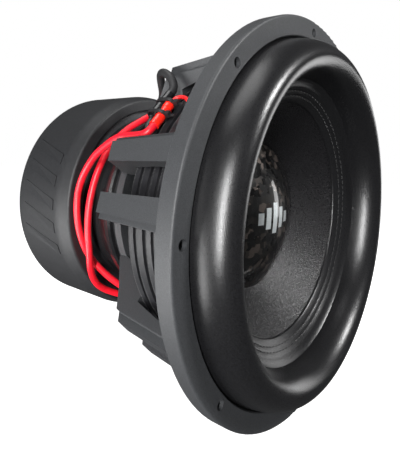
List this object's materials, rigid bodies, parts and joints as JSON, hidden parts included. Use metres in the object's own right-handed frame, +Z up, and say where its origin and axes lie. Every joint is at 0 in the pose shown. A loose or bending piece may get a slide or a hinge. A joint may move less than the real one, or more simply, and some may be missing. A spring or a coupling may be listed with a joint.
{
  "type": "subwoofer driver",
  "caption": "Round high-excursion car subwoofer driver with a cast twin-leg basket, tall roll surround, dished cone, booted motor and hard-wired leads.",
  "frame": {"origin": "centre of the flange's rear face, which seats on the baffle, on the driver's axis", "axes": "+Y along the driver's axis towards the motor, so the cone faces -Y; +Z up, through one of the flange's bolt holes; +X to the right as seen from in front of the cone"},
  "size_m": [0.394, 0.3376, 0.3939],
  "materials": {
    "cast_basket": "textured charcoal powder coat",
    "black_steel": "black zinc",
    "surround_rubber": "satin, fine grain",
    "cone_paper": "pressed paper, rough",
    "cap_gloss": "clear-coated chopped fibre",
    "thread": "matte",
    "former_aluminium": "satin",
    "copper_wire": "enamelled copper",
    "collar_paper": "matte",
    "ring_plastic": "satin",
    "spider_cloth": "resin-stiffened weave",
    "spacer_aluminium": "black anodised",
    "plate_steel": "gloss black paint",
    "ferrite": "ground ceramic",
    "boot_rubber": "matte",
    "red_silicone": "soft satin",
    "black_silicone": "soft satin",
    "red_sleeve": "satin sleeving",
    "black_sleeve": "satin sleeving",
    "red_heat_shrink": "gloss",
    "black_heat_shrink": "gloss",
    "tie_nylon": "satin",
    "tinned_strand": "tinned copper strand"
  },
  "bodies": {
    "frame": {"basket": "cast_basket", "basket_screws": "black_steel", "black_lead_a": "black_silicone", "black_lead_a_tip": "tinned_strand", "black_lead_b": "black_silicone", "black_lead_b_tip": "tinned_strand", "black_tinsel_a": "black_sleeve", "black_tinsel_b": "black_sleeve", "cable_ties_a": "tie_nylon", "cable_ties_b": "tie_nylon", "copper_sleeve": "copper_wire", "magnet_1": "ferrite", "magnet_2": "ferrite", "magnet_3": "ferrite", "magnet_boot": "boot_rubber", "motor_spacer": "spacer_aluminium", "red_lead_a": "red_silicone", "red_lead_a_tip": "tinned_strand", "red_lead_b": "red_silicone", "red_lead_b_tip": "tinned_strand", "red_tinsel_a": "red_sleeve", "red_tinsel_b": "red_sleeve", "shorting_ring": "former_aluminium", "spacer_ring_1": "ring_plastic", "spacer_ring_2": "ring_plastic", "spacer_ring_3": "ring_plastic", "spider_1": "spider_cloth", "spider_2": "spider_cloth", "spider_3": "spider_cloth", "spider_4": "spider_cloth", "spider_clamp_ring": "ring_plastic", "splice_black_a": "black_heat_shrink", "splice_black_b": "black_heat_shrink", "splice_red_a": "red_heat_shrink", "splice_red_b": "red_heat_shrink", "surround": "surround_rubber", "t_yoke": "plate_steel", "top_plate": "plate_steel", "vent_screen": "black_steel"},
    "cone_assembly": {"coil_inner": "copper_wire", "coil_outer": "copper_wire", "cone": "cone_paper", "dust_cap": "cap_gloss", "spider_collar": "collar_paper", "stitch_thread": "thread", "voice_coil_former": "former_aluminium"}
  },
  "joints": [
    {"name": "cone_travel", "type": "slide", "parent": "frame", "child": "cone_assembly", "axis": [0, -1, 0], "range_m": [-0.025, 0.025], "stiffness_N_per_m": 9000, "deforming": ["surround", "spider_1", "spider_2", "spider_3", "spider_4", "black_tinsel_a", "black_tinsel_b", "red_tinsel_a", "red_tinsel_b"]}
  ]
}
